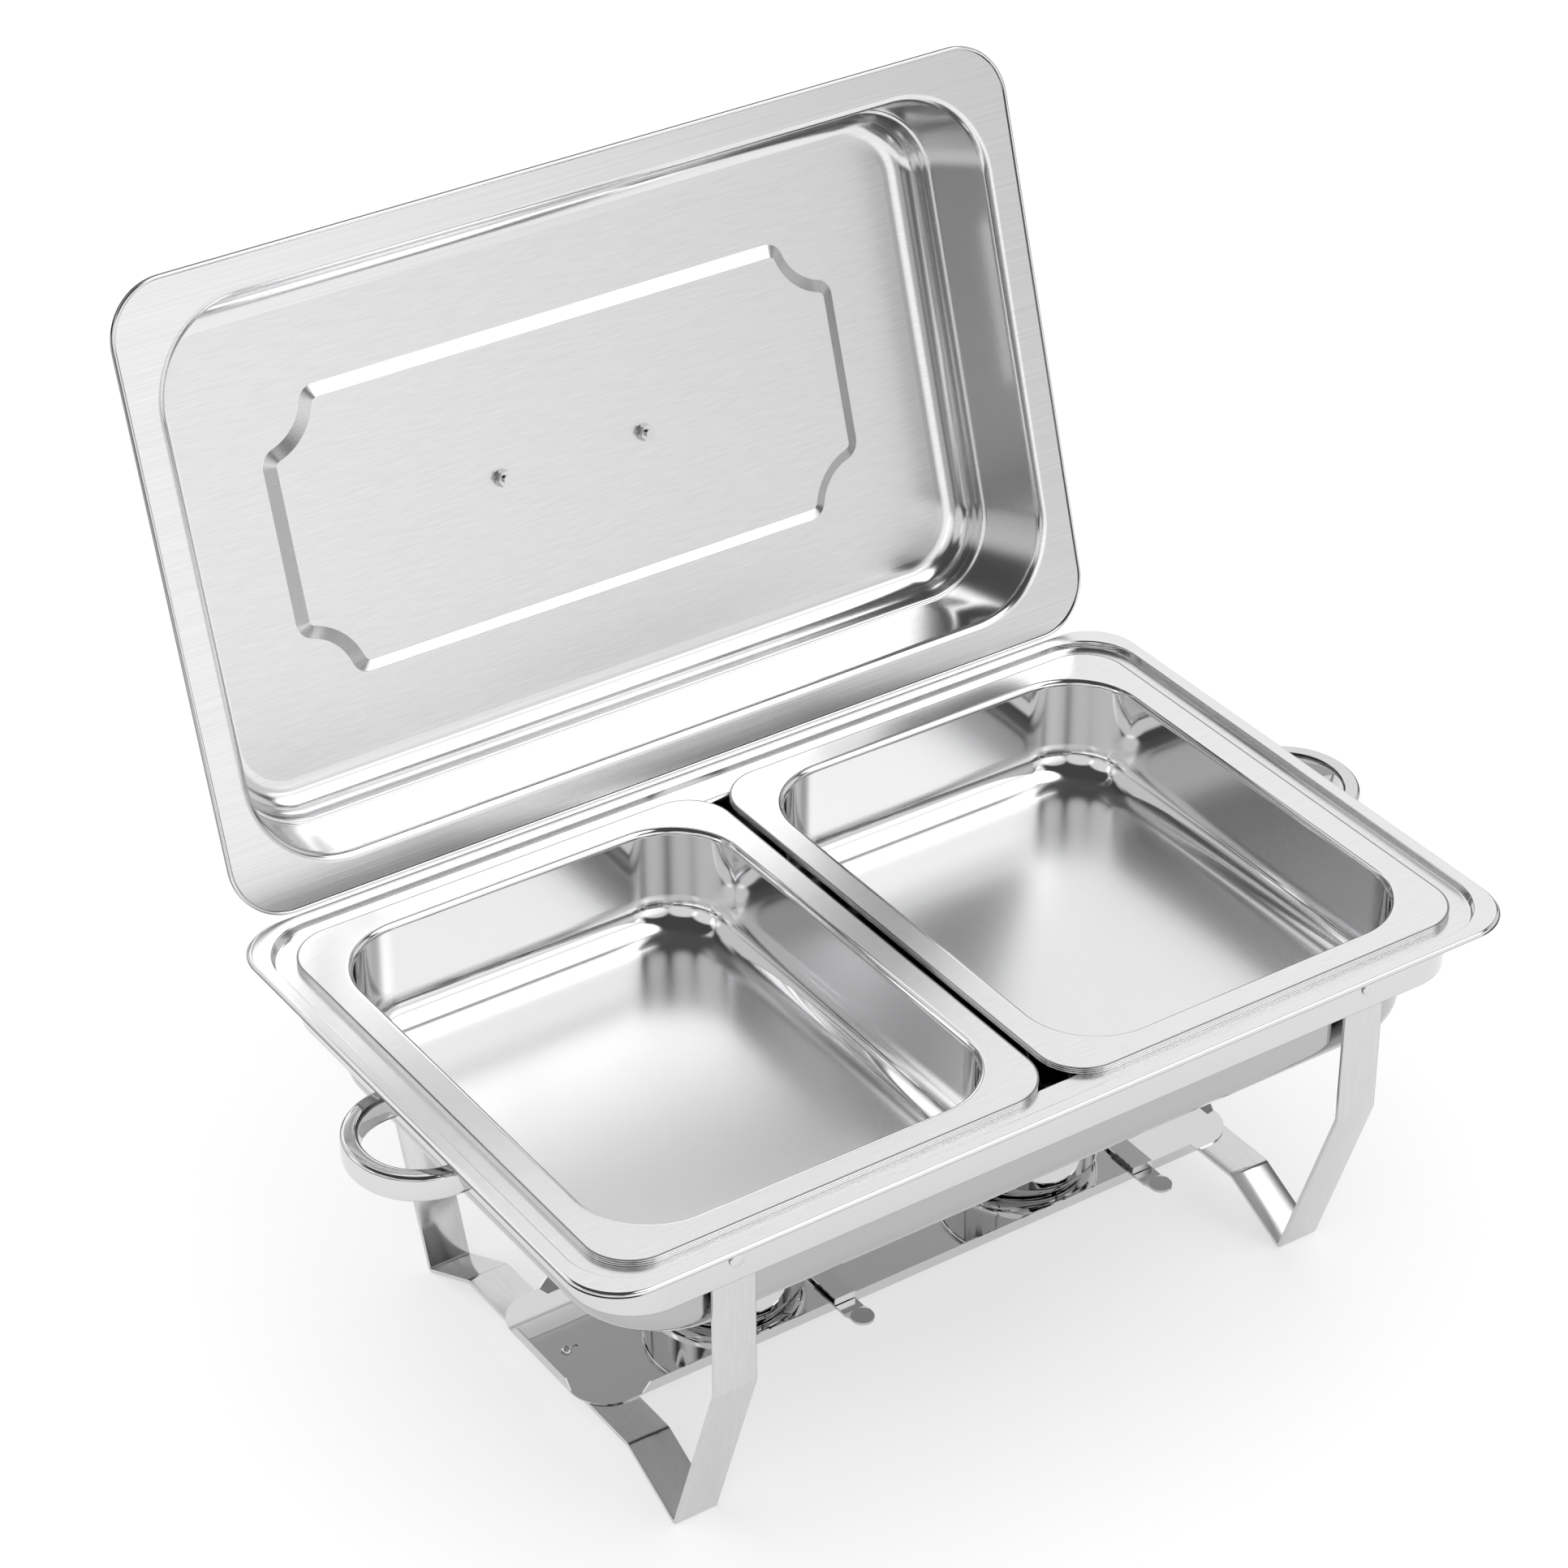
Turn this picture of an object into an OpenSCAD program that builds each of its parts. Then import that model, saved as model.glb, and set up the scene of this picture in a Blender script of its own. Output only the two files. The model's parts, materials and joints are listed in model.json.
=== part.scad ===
// Chafing dish food warmer: folding strap stand, water pan, two food pans, loose lid, two fuel cups.
// Millimetres. X along the length, -Y is the front, Z is up from the floor. Drawn with the lid open.

/* [Stand] */
// Height of the water pan rim above the floor
rim_h = 216; // [190:0.5:240]
// Length over the rail band
rail_l = 535.4; // [500:0.2:560]
// Width over the rail band
rail_w = 326.4; // [310:0.2:345]
// Corner radius of the rail band
rail_r = 34; // [20:1:60]
// Height of the rail band
rail_tall = 30.1; // [20:0.1:40]
// Thickness of the rail band
rail_t = 1.5; // [1:0.1:3]
// Distance of the leg pivots from the middle
pivot_x = 196.85; // [185:0.05:205]
// Height of the leg pivots above the floor
pivot_h = 194.1; // [190:0.1:196]
// Width of the leg strap
strap_w = 25; // [18:0.5:32]
// Thickness of the leg strap
strap_t = 2.5; // [2:0.1:3]
// Height of the knee bend above the floor
knee_h = 111.6; // [90:0.2:140]
// Distance of the foot bend from the middle
foot_y = 122; // [100:0.5:140]
// Distance of the crossbar bend from the middle
bar_y = 79.3; // [60:0.1:95]
// Height of the top of the crossbar above the floor
bar_h = 22.9; // [15:0.1:40]

/* [Shelf] */
// Length of the burner shelf
shelf_l = 425.2; // [410:0.2:440]
// Width of the burner shelf
shelf_w = 103; // [90:0.5:120]
// Corner radius of the shelf
shelf_r = 21.8; // [15:0.1:30]
// Height of the shelf flanges
shelf_lip = 5.6; // [4:0.1:10]
// Length of the long shelf flange at its foot
shelf_run = 366; // [340:1:380]
// Length of the end shelf flange at its foot
shelf_end = 59.4; // [50:0.2:70]

/* [Fuel cups] */
// Distance of each fuel cup from the middle
cup_x = 97.5; // [85:0.5:120]
// Outside diameter of a fuel cup
cup_d = 89; // [75:1:95]
// Height of a fuel cup
cup_h = 37; // [30:0.5:50]
// Radius of the rounded bottom edge of a fuel cup
cup_r = 10; // [5:0.5:14]
// Sideways offset of the cup handle
grip_x = 20.4; // [10:0.2:24]
// Width of the cup handle strip
grip_w = 12.5; // [10:0.5:16]
// Reach of the cup handle from the cup axis
grip_y = 105; // [95:1:115]
// Reach of the cover handle from the cup axis
snuff_y = 83; // [75:1:88]

/* [Water pan] */
// Length over the water pan rim
pan_l = 571.2; // [560:0.2:580]
// Width over the water pan rim
pan_w = 363.6; // [350:0.2:370]
// Outer corner radius of the water pan rim
pan_r = 30; // [20:0.5:40]
// Corner radius of the step inside the rim
step_r = 34; // [32:0.5:45]
// Width of the raised outer band of the rim
band_w = 8.6; // [6:0.1:12]
// Drop from the rim to the ledge that carries the food pans
ledge_drop = 4.3; // [3:0.1:6]
// Length over the outside of the water pan body
tub_l = 510.5; // [506:0.5:520]
// Width over the outside of the water pan body
tub_w = 310; // [300:0.5:316]
// Depth of the water pan below the rim
tub_h = 69.3; // [67:0.1:75]
// Bottom edge radius of the water pan
tub_fillet = 14; // [8:1:20]
// Corner radius of the water pan body
tub_r = 52; // [40:1:55]

/* [Food pans] */
// Length of a food pan over its rim, front to back
food_w = 325; // [320:0.5:330]
// Width of a food pan over its rim
food_l = 262.8; // [255:0.2:265]
// Distance of a food pan from the middle
food_x = 134.1; // [132:0.1:140]
// Width of the flat of the food pan rim
food_rim = 14; // [10:0.5:16]
// Outer corner radius of the food pan rim
food_r = 27; // [12:1:40]
// Corner radius of the food pan wall
food_in_r = 42; // [30:1:60]
// Depth of a food pan
food_h = 62; // [50:1:65]
// Bottom edge radius of a food pan
food_fillet = 20; // [8:1:28]

/* [Lid] */
// Length over the lid edge
lid_l = 552.2; // [540:0.2:553]
// Width over the lid edge
lid_w = 344; // [335:0.2:344.4]
// Corner radius of the lid edge
lid_r = 33; // [25:1:50]
// Corner radius of the fold between lid flange and lid wall
lid_in_r = 57; // [50:1:70]
// Width of the flat lid flange
flange_w = 15; // [12:0.5:18]
// Lean of the lid wall below its shoulder
taper = 10; // [6:0.5:12]
// Depth of the lid above its flange
lid_h = 64.5; // [50:0.5:75]
// Height of the shoulder line round the lid
shoulder_h = 44; // [35:0.5:50]
// Radius of the lid's top edge
crown_r = 15; // [8:0.5:19]
// Length of the pressed plaque
plaque_l = 364; // [330:1:380]
// Width of the pressed plaque
plaque_w = 162; // [140:1:180]
// Radius of the plaque's corner notches
notch_r = 29; // [20:1:35]
// Depth of the pressed plaque
plaque_h = 3; // [1.5:0.1:4]
// Width of the plaque's sloped border
slope_w = 8; // [5:0.5:12]
// Lean of the open lid past upright
lid_lean = 17.2; // [10:0.1:25]
// Spacing of the lid handle's bolts
bolt_gap = 91.4; // [80:0.1:110]

/* [Handles] */
// Reach of an end handle from the rail band
loop_out = 47.8; // [42:0.1:60]
// Width over an end handle's loop
loop_l = 81; // [74:1:100]
// Height of a handle bar's section
loop_tall = 15; // [10:0.5:18]
// Thickness of a handle bar's section
loop_t = 9.5; // [8:0.5:11]
// Height of the end handles above the floor
loop_h = 196; // [190:0.5:202]
// Reach of the lid handle from the lid
knob_out = 38; // [30:1:50]

/* [Shown part] */
// Which sub-part to draw

/* [Hidden] */
$fn = 48;

steel = [0.80, 0.80, 0.81];
satin = [0.70, 0.71, 0.72];

gap = 0.05;             // clearance between parts that rest on one another
sheet = 0.8;            // pan, lid and shelf sheet
strip = 1.5;            // cup handle strip
far = 400;              // longer than any cut

rail_top = rim_h - ledge_drop - sheet - gap;
rail_foot = rail_top - rail_tall;
strap_y = rail_w / 2 - rail_t - 0.1;      // outer face of the leg strap
rivet_r = 2.5;
rivet_head_r = 4.1;
rivet_head = 2;
rivet_tail = 1;         // flattened end inside the strap
foot_z = 0.85;          // middle of the strap at the foot bend, so that its tip is cut flat
run_fit = 0.06;         // radial clearance of a turning hole
screw_r = 2;
screw_head_r = 3.3;
screw_head = 2.4;
screw_tail = 3;
screw_play = 0.2;
screw_ball = 3.4;       // radius of the screw's domed head
cross_w = 0.8;          // width of a screw's cross slot
slot_run = 8;
pilot_in = 5.5;         // small hole beside each shelf screw
pilot_r = 1.5;

shelf_z = bar_h + gap;
cup_z = shelf_z + sheet + gap;
cup_top = cup_z + cup_h;
cup_wall = 0.9;
curl_r = 1.3;
grip_z = cup_top - 5;
cover_z = cup_top + gap;
cover_t = 1;
cover_r = cup_d / 2 + 0.5;
cover_pivot_y = cup_d / 2 + 7;
rest_h = 1.6;           // rise of the finger rest
rest_from = 14;         // where the rise starts and ends, back from the tip
rest_to = 9;
strip_in = 12;          // where the cover's strip ends under its disc
cup_out_r = cup_d / 2 - curl_r / 2;       // outside of the cup wall
pin_r = 2;
pin_head_r = 3.4;
pin_tail = 1;
pin_head = 1.2;
lip_drop = 3;

step_in = 0.8;          // slope of the step between rim and ledge, in plan
lip_h = 2.6;            // turned-down outer lip of the rim
lip_r = 2;
tub_bend = 2;           // under radius of the fold into the tub
tub_z = rim_h - tub_h;
food_z = rim_h - ledge_drop + gap;
food_top = food_z + 3.6;
food_edge = 1.4;
food_bend = 2.7;        // under radius of the fold into the food pan

seat_z = food_top + 0.25;                 // underside of the closed lid's flange
bead_w = 2.2;
bead_h = 3.6;
bead_drop = 1;
hinge_y = 177.2;
hinge_z = rim_h - 3.2;
lid_swing = 90 + lid_lean;
shoulder = 2;
flange_r = 4.2;
bar_r = 2.5;            // rounding of a handle bar
loop_bend = 35;         // radius of an end handle's bends
knob_bend = 26;         // radius of the lid handle's bends
lid_t = 0.8;
stud_r = 2.5;
stud_play = 0.2;
stud_tail = 7;          // bolt below the plaque, inside the lid
washer_r = 5;
washer_t = 1;
nut_r = 4.6;
nut_h = 4;
top_z = seat_z + lid_h;

// Front-to-back middle of the whole object with the lid open
fold_run = flange_r * cos(taper);
fold_rise = seat_z + lid_t + flange_r - flange_r * sin(taper);
wall_run = fold_run + (seat_z + shoulder_h - fold_rise) * tan(taper);
back_y = lid_w / 2 - bead_w - flange_w - wall_run - shoulder - crown_r;
crown_v = hinge_y + back_y;
crown_z = top_z + lid_t - crown_r - hinge_z;
crown_back = hinge_y + sin(lid_lean) * crown_v + cos(lid_lean) * crown_z + crown_r;
knob_z = top_z - plaque_h + lid_t + knob_out - bar_r - hinge_z;
knob_back = hinge_y + sin(lid_lean) * (hinge_y + loop_tall / 2 - bar_r)
  + cos(lid_lean) * knob_z + bar_r;
mid_y = (max(crown_back, knob_back) - pan_w / 2) / 2;

// ---- shared shapes ----

module seat_frame() translate([0, -mid_y, 0]) children();

module round_box_2d(l, w, r) {
  square([l - 2 * r, w], center = true);
  square([l, w - 2 * r], center = true);
  for (x = [-1, 1], y = [-1, 1]) translate([x * (l / 2 - r), y * (w / 2 - r)]) circle(r);
}

// Sweeps a wall section round a rounded rectangle. Section x is outward from the edge, y is up.
module swept(l, w, r) {
  for (s = [0, 1]) {
    rotate([0, 0, 180 * s]) translate([l / 2, 0, 0]) rotate([90, 0, 0])
      linear_extrude(w - 2 * r, center = true) children();
    rotate([0, 0, 180 * s]) translate([0, w / 2, 0]) rotate([90, 0, 90])
      linear_extrude(l - 2 * r, center = true) children();
    rotate([0, 0, 180 * s]) translate([l / 2 - r, w / 2 - r, 0])
      rotate_extrude(angle = 90) translate([r, 0]) children();
    rotate([0, 0, 180 * s]) translate([r - l / 2, w / 2 - r, 0]) rotate([0, 0, 90])
      rotate_extrude(angle = 90) translate([r, 0]) children();
  }
}

// Bend in a sheet: centre, inner radius, thickness, and the angles where it starts and ends
module elbow(x, y, r, t, from, to) {
  reach = 2 * (r + t);
  translate([x, y]) intersection() {
    difference() {
      circle(r + t);
      circle(r);
    }
    polygon([[0, 0], for (a = [from, (from + to) / 2, to]) reach * [cos(a), sin(a)]]);
  }
}

function unit(v) = v / norm(v);
function left_of(v) = [-v[1], v[0]];

// Where the side of a bent strip turns the corner b, on the way from a to c, d to the left
function mitre(a, b, c, d) =
  let (m = left_of(unit(b - a)) + left_of(unit(c - b))) b + m * 2 * d / (m * m);

// One side of a bent strip, d to the left of its middle line
function strip_side(pts, d) = let (n = len(pts) - 1) [
  pts[0] + d * left_of(unit(pts[1] - pts[0])),
  for (i = [1 : n - 1]) mitre(pts[i - 1], pts[i], pts[i + 1], d),
  pts[n] + d * left_of(unit(pts[n] - pts[n - 1]))
];

// Bent strip of thickness t along the points of its middle line
module strip_2d(pts, t) {
  one = strip_side(pts, t / 2);
  other = strip_side(pts, -t / 2);
  polygon(concat(one, [for (i = [len(other) - 1 : -1 : 0]) other[i]]));
}

// ---- stand ----

module rail() seat_frame() color(steel) difference() {
  translate([0, 0, rail_foot]) linear_extrude(rail_tall) difference() {
    round_box_2d(rail_l, rail_w, rail_r);
    round_box_2d(rail_l - 2 * rail_t, rail_w - 2 * rail_t, rail_r - rail_t);
  }
  for (x = [-pivot_x, pivot_x]) translate([x, 0, pivot_h]) rotate([90, 0, 0])
    cylinder(h = 2 * far, r = rivet_r, center = true);
}

// Bar section of a handle, flat inside and rounded outside
module bar_2d() {
  square([loop_t - 2 * bar_r, loop_tall], center = true);
  square([loop_t, loop_tall - 2 * bar_r], center = true);
  for (x = [-1, 1], y = [-1, 1]) translate([x * (loop_t / 2 - bar_r), y * (loop_tall / 2 - bar_r)])
    circle(bar_r);
}

// Loop that leaves a wall at x = 0 and comes back to it, lying flat
module loop_bar(span, reach, bend) {
  arm = reach - loop_t / 2 - bend;
  half = span / 2 - loop_t / 2;
  for (s = [-1, 1]) {
    translate([arm / 2, s * half, 0]) rotate([90, 0, 90])
      linear_extrude(arm, center = true) bar_2d();
    translate([arm, s * (half - bend), 0]) mirror([0, s > 0 ? 0 : 1, 0])
      rotate_extrude(angle = 90) translate([bend, 0]) bar_2d();
  }
  translate([arm + bend, 0, 0]) rotate([90, 0, 0])
    linear_extrude(2 * (half - bend), center = true) bar_2d();
}

module end_handle(side) seat_frame() color(steel)
  mirror([side < 0 ? 1 : 0, 0, 0]) translate([rail_l / 2, 0, loop_h]) loop_bar(loop_l, loop_out, loop_bend);

module pivot_rivets() seat_frame() color(steel) for (x = [-pivot_x, pivot_x], s = [-1, 1])
  translate([x, 0, pivot_h]) rotate([90 * s, 0, 0]) {
    inner = strap_y - strap_t - gap;
    translate([0, 0, inner]) cylinder(h = rail_w / 2 - inner, r = rivet_r);
    translate([0, 0, inner - rivet_tail]) cylinder(h = rivet_tail, r = rivet_head_r);
    translate([0, 0, rail_w / 2]) rivet_dome();
  }

// Low round head, flat side down
module rivet_dome() {
  ball = (rivet_head_r * rivet_head_r + rivet_head * rivet_head) / (2 * rivet_head);
  rotate_extrude() intersection() {
    translate([0, rivet_head - ball]) circle(ball);
    square([rivet_head_r, rivet_head]);
  }
}

module leg(side) seat_frame() color(satin) translate([side * pivot_x, 0, 0]) {
  y1 = strap_y - strap_t / 2;
  top = pivot_h + strap_w;
  bar_mid = bar_h - strap_t / 2;
  pts = [
    [-y1, top], [-y1, knee_h], [-foot_y, foot_z], [-bar_y, bar_mid],
    [bar_y, bar_mid], [foot_y, foot_z], [y1, knee_h], [y1, top]
  ];
  difference() {
    intersection() {
      rotate([90, 0, 90]) linear_extrude(2 * strap_w, center = true) strip_2d(pts, strap_t);
      rotate([90, 0, 0]) linear_extrude(far, center = true) {
        translate([0, pivot_h]) circle(strap_w / 2);
        translate([-strap_w / 2, 0]) square([strap_w, pivot_h]);
      }
    }
    translate([0, 0, pivot_h]) rotate([90, 0, 0])
      cylinder(h = far, r = rivet_r + run_fit, center = true);
    translate([0, 0, bar_mid]) linear_extrude(2 * strap_t, center = true) slot_2d(side);
  }
}

// Slot in the crossbar that a shelf screw drops into, long towards the end of the stand
module slot_2d(side) {
  r = screw_r + screw_play;
  circle(r);
  translate([side * slot_run, 0]) circle(r);
  translate([side * slot_run / 2, 0]) square([slot_run, 2 * r], center = true);
}

// ---- shelf and fuel cups ----

module flange_wall(run) rotate([90, 0, 0]) linear_extrude(sheet)
  polygon([[-run / 2, 0], [run / 2, 0], [run / 2 - shelf_lip, shelf_lip + sheet],
    [shelf_lip - run / 2, shelf_lip + sheet]]);

module shelf() seat_frame() color(steel) translate([0, 0, shelf_z]) difference() {
  union() {
    linear_extrude(sheet) round_box_2d(shelf_l, shelf_w, shelf_r);
    for (a = [0, 180]) rotate([0, 0, a]) {
      translate([0, sheet - shelf_w / 2, 0]) flange_wall(shelf_run);
      translate([sheet - shelf_l / 2, 0, 0]) rotate([0, 0, -90]) flange_wall(shelf_end);
    }
  }
  for (x = [-1, 1]) {
    translate([x * pivot_x, 0, 0]) cylinder(h = 4 * sheet, r = screw_r, center = true);
    translate([x * (pivot_x - pilot_in), 0, 0]) cylinder(h = 4 * sheet, r = pilot_r, center = true);
  }
}

module shelf_screws() seat_frame() color(steel) for (x = [-pivot_x, pivot_x])
  translate([x, 0, shelf_z + sheet]) difference() {
    union() {
      translate([0, 0, -sheet - screw_tail]) cylinder(h = sheet + screw_tail, r = screw_r);
      rotate_extrude() intersection() {
        square([screw_head_r, screw_head]);
        translate([0, screw_head - screw_ball]) circle(screw_ball);
      }
    }
    for (a = [0, 90]) rotate([0, 0, a]) translate([0, 0, screw_head])
      cube([screw_ball, cross_w, screw_head], center = true);
  }

module fuel_cup(side) seat_frame() color(steel) translate([side * cup_x, 0, cup_z]) rotate_extrude() {
  r = cup_out_r;
  square([r - cup_r, cup_wall]);
  elbow(r - cup_r, cup_r, cup_r - cup_wall, cup_wall, 270, 360);
  translate([r - cup_wall, cup_r]) square([cup_wall, cup_h - cup_r - curl_r]);
  translate([r - cup_wall / 2, cup_h - curl_r]) circle(curl_r);
}

// Flat strip with a raised, rounded finger rest
module cup_handle(side) seat_frame() color(satin) translate([side * cup_x + grip_x, 0, grip_z]) {
  rest_y = grip_y - grip_w / 2;
  difference() {
    union() {
      rotate([90, 0, 90]) linear_extrude(grip_w, center = true)
        polygon([[-grip_x, 0], [-grip_x, strip], [rest_from - grip_y, strip],
          [rest_to - grip_y, rest_h + strip], [-rest_y, rest_h + strip], [-rest_y, rest_h],
          [rest_to - grip_y, rest_h], [rest_from - grip_y, 0]]);
      translate([0, -rest_y, rest_h]) cylinder(h = strip, r = grip_w / 2);
    }
    translate([-grip_x, 0, 0]) cylinder(h = far, r = cup_out_r, center = true);
    translate([0, -cover_pivot_y, 0]) cylinder(h = far, r = pin_r, center = true);
  }
}

// Snuffer cover with its own handle strip
module cover(side) seat_frame() color(satin) translate([side * cup_x, 0, cover_z]) difference() {
  union() {
    cylinder(h = cover_t, r = cover_r);
    translate([grip_x - grip_w / 2, cover_t - snuff_y, 0]) cube([grip_w, snuff_y - strip_in, cover_t]);
    translate([grip_x - grip_w / 2, -snuff_y, -lip_drop]) cube([grip_w, cover_t, lip_drop + cover_t]);
  }
  translate([grip_x, -cover_pivot_y, 0]) cylinder(h = far, r = pin_r + run_fit, center = true);
}

module cover_pivot(side) seat_frame() color(steel)
  translate([side * cup_x + grip_x, -cover_pivot_y, 0]) {
    translate([0, 0, grip_z - pin_tail]) cylinder(h = pin_tail, r = pin_head_r);
    translate([0, 0, grip_z]) cylinder(h = cover_z + cover_t + gap - grip_z, r = pin_r);
    translate([0, 0, grip_z + strip]) cylinder(h = cover_z - gap - grip_z - strip, r = pin_head_r);
    translate([0, 0, cover_z + cover_t + gap]) cylinder(h = pin_head, r = pin_head_r);
  }

// ---- pans ----

// Outer lip of the water pan rim: section x is outward from its outer edge, y is up from the floor
module outer_lip_2d() {
  elbow(-lip_r, rim_h - lip_r, lip_r - sheet, sheet, 0, 90);
  translate([-sheet, rim_h - lip_r - lip_h]) square([sheet, lip_h]);
}

// Step from the rim's band down to its ledge: section x is outward from the band's inner edge
module rim_step_2d() {
  low = rim_h - ledge_drop;
  polygon([[0, rim_h], [-step_in, low], [-step_in - sheet, low], [-step_in - sheet, low - sheet],
    [sheet - step_in, low - sheet], [sheet, rim_h - sheet], [sheet, rim_h]]);
}

// Flat ring between two rounded rectangles
module ring_plate(l1, w1, r1, l2, w2, r2) linear_extrude(sheet) difference() {
  round_box_2d(l1, w1, r1);
  round_box_2d(l2, w2, r2);
}

// Drawn bowl hanging from a fold, with its walls, rounded bottom edge and floor
module drawn_bowl(l, w, r, bend, top, bottom, fillet) {
  fold_z = top - sheet - bend;
  swept(l, w, r) {
    elbow(bend, fold_z, bend, sheet, 90, 180);
    translate([-sheet, bottom + fillet]) square([sheet, fold_z - bottom - fillet]);
    elbow(-fillet, bottom + fillet, fillet - sheet, sheet, 270, 360);
  }
  translate([0, 0, bottom]) linear_extrude(sheet)
    round_box_2d(l - 2 * fillet, w - 2 * fillet, r - fillet);
}

module water_pan() seat_frame() color(steel) {
  l = pan_l - 2 * band_w;
  w = pan_w - 2 * band_w;
  ledge = step_in + sheet;
  swept(pan_l, pan_w, pan_r) outer_lip_2d();
  translate([0, 0, rim_h - sheet])
    ring_plate(pan_l - 2 * lip_r, pan_w - 2 * lip_r, pan_r - lip_r,
      l + 2 * sheet, w + 2 * sheet, step_r + sheet);
  swept(l, w, step_r) rim_step_2d();
  translate([0, 0, rim_h - ledge_drop - sheet])
    ring_plate(l - 2 * ledge, w - 2 * ledge, step_r - ledge,
      tub_l + 2 * tub_bend, tub_w + 2 * tub_bend, tub_r + tub_bend);
  drawn_bowl(tub_l, tub_w, tub_r, tub_bend, rim_h - ledge_drop, tub_z, tub_fillet);
}

module food_pan(side) seat_frame() color(steel) translate([side * food_x, 0, 0]) {
  inset = food_rim + food_bend;
  l = food_l - 2 * inset;
  w = food_w - 2 * inset;
  swept(food_l, food_w, food_r) {
    elbow(-food_edge, food_top - food_edge, food_edge - sheet, sheet, 0, 90);
    translate([-sheet, food_z]) square([sheet, food_top - food_edge - food_z]);
  }
  translate([0, 0, food_top - sheet])
    ring_plate(food_l - 2 * food_edge, food_w - 2 * food_edge, food_r - food_edge,
      l + 2 * food_bend, w + 2 * food_bend, food_in_r + food_bend);
  drawn_bowl(l, w, food_in_r, food_bend, food_top, food_top - food_h, food_fillet);
}

// ---- lid, drawn closed and then swung open about its back edge ----

module swung() seat_frame() translate([0, hinge_y, hinge_z]) rotate([-lid_swing, 0, 0])
  translate([0, -hinge_y, -hinge_z]) children();

// Solid block with sloped sides and scooped corners, its small face at z = 0
module plaque_block(tall) {
  reach = slope_w * tall / plaque_h;
  intersection() {
    rotate([90, 0, 0]) linear_extrude(far, center = true)
      slope_side(plaque_l / 2 - slope_w, reach, tall);
    rotate([90, 0, 90]) linear_extrude(far, center = true)
      slope_side(plaque_w / 2 - slope_w, reach, tall);
  }
}

module slope_side(half, reach, tall)
  polygon([[-half, 0], [half, 0], [half + reach, tall], [-half - reach, tall]]);

module plaque_solid(tall) difference() {
  plaque_block(tall);
  for (x = [-1, 1], y = [-1, 1]) translate([x * plaque_l / 2, y * plaque_w / 2, 0])
    cylinder(h = tall, r1 = notch_r + slope_w, r2 = notch_r + slope_w - slope_w * tall / plaque_h);
}

module lid() swung() color(satin) {
  edge = bead_w + flange_w;
  ql = lid_l - 2 * edge;
  qw = lid_w - 2 * edge;
  step_z = seat_z + shoulder_h;
  crown_u = wall_run + shoulder + crown_r;
  low_z = top_z - plaque_h;
  swept(lid_l, lid_w, lid_r) {
    translate([-bead_w / 2, seat_z - bead_drop + bead_w / 2]) circle(bead_w / 2);
    translate([-bead_w / 2, seat_z - bead_drop + bead_h - bead_w / 2]) circle(bead_w / 2);
    translate([-bead_w, seat_z - bead_drop + bead_w / 2]) square([bead_w, bead_h - bead_w]);
  }
  translate([0, 0, seat_z]) ring_plate(lid_l - 2 * bead_w, lid_w - 2 * bead_w, lid_r - bead_w,
    ql, qw, lid_in_r);
  swept(ql, qw, lid_in_r) {
    elbow(0, seat_z + lid_t + flange_r, flange_r, lid_t, 180 + taper, 270);
    polygon([[-fold_run, fold_rise], [-wall_run, step_z], [-wall_run - lid_t, step_z],
      [-fold_run - lid_t * cos(taper), fold_rise - lid_t * sin(taper)]]);
    translate([-wall_run - lid_t - shoulder, step_z]) square([lid_t + shoulder, lid_t]);
    translate([-wall_run - lid_t - shoulder, step_z])
      square([lid_t, top_z + lid_t - crown_r - step_z]);
    elbow(-crown_u, top_z + lid_t - crown_r, crown_r - lid_t, lid_t, 0, 90);
  }
  difference() {
    translate([0, 0, top_z]) linear_extrude(lid_t)
      round_box_2d(ql - 2 * crown_u, qw - 2 * crown_u, lid_in_r - crown_u);
    translate([0, 0, low_z]) plaque_solid(plaque_h + lid_t);
  }
  difference() {
    translate([0, 0, low_z]) plaque_solid(plaque_h + lid_t);
    translate([0, 0, low_z + lid_t]) plaque_solid(plaque_h + lid_t);
    for (x = [-1, 1]) translate([x * bolt_gap / 2, 0, low_z])
      cylinder(h = 4 * lid_t, r = stud_r + stud_play, center = true);
  }
}

module lid_handle() swung() color(steel) translate([0, 0, top_z - plaque_h + lid_t])
  rotate([0, -90, -90]) loop_bar(bolt_gap + loop_t, knob_out, knob_bend);

module lid_bolts() swung() color(steel) for (x = [-1, 1])
  translate([x * bolt_gap / 2, 0, top_z - plaque_h - stud_tail])
    cylinder(h = stud_tail + lid_t, r = stud_r);

module lid_washers() swung() color(satin) for (x = [-1, 1])
  translate([x * bolt_gap / 2, 0, top_z - plaque_h - washer_t]) difference() {
    cylinder(h = washer_t, r = washer_r);
    cylinder(h = 3 * washer_t, r = stud_r + stud_play, center = true);
  }

module lid_nuts() swung() color(steel) for (x = [-1, 1])
  translate([x * bolt_gap / 2, 0, top_z - plaque_h - washer_t - nut_h]) difference() {
    cylinder(h = nut_h, r = nut_r, $fn = 6);
    cylinder(h = 3 * nut_h, r = stud_r, center = true);
  }

rail();
end_handle(-1);  // left_handle
end_handle(1);  // right_handle
pivot_rivets();
leg(-1);  // left_leg
leg(1);  // right_leg
shelf();
shelf_screws();
fuel_cup(-1);  // left_fuel_cup
fuel_cup(1);  // right_fuel_cup
cup_handle(-1);  // left_cup_handle
cup_handle(1);  // right_cup_handle
cover(-1);  // left_cover
cover(1);  // right_cover
cover_pivot(-1);  // left_cover_pivot
cover_pivot(1);  // right_cover_pivot
water_pan();
food_pan(-1);  // left_food_pan
food_pan(1);  // right_food_pan
lid();
lid_handle();
lid_bolts();
lid_washers();
lid_nuts();
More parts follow.
